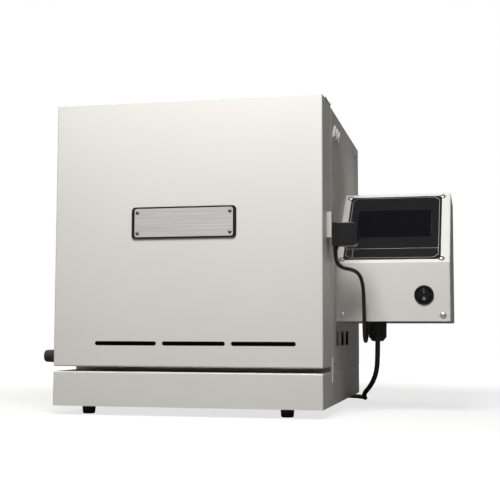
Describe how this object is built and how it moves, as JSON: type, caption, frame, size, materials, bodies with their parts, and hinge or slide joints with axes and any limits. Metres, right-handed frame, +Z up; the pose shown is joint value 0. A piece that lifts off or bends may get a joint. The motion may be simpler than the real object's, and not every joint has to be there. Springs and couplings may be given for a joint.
{
  "type": "wax burnout kiln",
  "caption": "Bench-top kiln with a top-hinged lift-up door, lined chamber with side elements, and a sloping control box on its right side.",
  "frame": {"origin": "on the surface the kiln stands on, in the middle of its outline without the cord", "axes": "+X to the right seen from the front, +Y from the front to the back, +Z up"},
  "size_m": [0.5246, 0.5366, 0.4136],
  "materials": {
    "cream_coat": "fine powder coat, warm white",
    "bright_sheet": "plain zinc-coated sheet",
    "plate_steel": "brushed along its length",
    "screw_steel": "bright zinc",
    "black_plastic": "fine moulded texture",
    "black_rubber": "matt",
    "lining_board": "chalky pressed fibre",
    "kiln_shelf": "sandy fired clay",
    "white_ceramic": "smooth unglazed",
    "fibre_tape": "woven",
    "element_wire": "oxidised resistance wire",
    "magnet": "plain",
    "panel_film": "printed film, satin",
    "dark_window": "glossy",
    "circuit_board": "lacquered board",
    "bare_aluminium": "extruded",
    "cord_jacket": "smooth, dull",
    "cable_jacket": "smooth, dull",
    "tie_strap": "hook-and-loop strap",
    "pin_brass": "plain"
  },
  "bodies": {
    "kiln": {"base_pan": "cream_coat", "base_straps": "cream_coat", "body_casing": "cream_coat", "back_panel": "cream_coat", "control_box_shell": "cream_coat", "switch_bracket": "cream_coat", "hinge_body_leaf": "cream_coat", "body_floor": "bright_sheet", "front_frame": "bright_sheet", "lining_rails": "bright_sheet", "control_box_chassis": "bright_sheet", "casing_screws": "screw_steel", "bright_screws": "screw_steel", "body_hinge_screws": "screw_steel", "hinge_pin": "screw_steel", "door_switch": "black_plastic", "rocker_bezel": "black_plastic", "cord_gland": "black_plastic", "cord_gland_nut": "black_plastic", "sensor_gland": "black_plastic", "power_relay": "black_plastic", "terminal_strip": "black_plastic", "base_feet": "black_rubber", "lead_grommet": "black_rubber", "lining_left": "lining_board", "lining_right": "lining_board", "lining_floor": "lining_board", "lining_roof": "lining_board", "lining_back": "lining_board", "hearth_plate": "kiln_shelf", "hearth_posts": "kiln_shelf", "body_spacers": "kiln_shelf", "terminal_blocks": "white_ceramic", "vent_tube": "white_ceramic", "thermocouple": "white_ceramic", "heating_elements": "element_wire", "control_overlay": "panel_film", "display_window": "dark_window", "display_module": "circuit_board", "controller_board": "circuit_board", "heat_sink": "bare_aluminium", "power_cord": "cord_jacket", "cord_coil": "cord_jacket", "plug_body": "cord_jacket", "sensor_cable": "cable_jacket", "cord_tie": "tie_strap", "plug_pins": "pin_brass"},
    "door": {"door_skin": "cream_coat", "door_block": "lining_board", "door_inner_frame": "bright_sheet", "door_plug": "lining_board", "door_gasket": "fibre_tape", "nameplate_frame": "black_plastic", "nameplate": "plate_steel", "nameplate_screws": "screw_steel", "door_knob": "black_rubber", "door_magnet": "magnet", "hinge_door_leaf": "cream_coat", "door_hinge_screws": "screw_steel"},
    "rocker": {"rocker": "black_plastic"}
  },
  "joints": [
    {"name": "door_hinge", "type": "hinge", "parent": "kiln", "child": "door", "pos_m": [-0.06875, -0.1253, 0.41115], "axis": [-1, 0, 0], "range_deg": [0, 180]},
    {"name": "rocker_tilt", "type": "hinge", "parent": "kiln", "child": "rocker", "pos_m": [0.22755, -0.0793, 0.1575], "axis": [-1, 0, 0], "range_deg": [0, 18]}
  ]
}
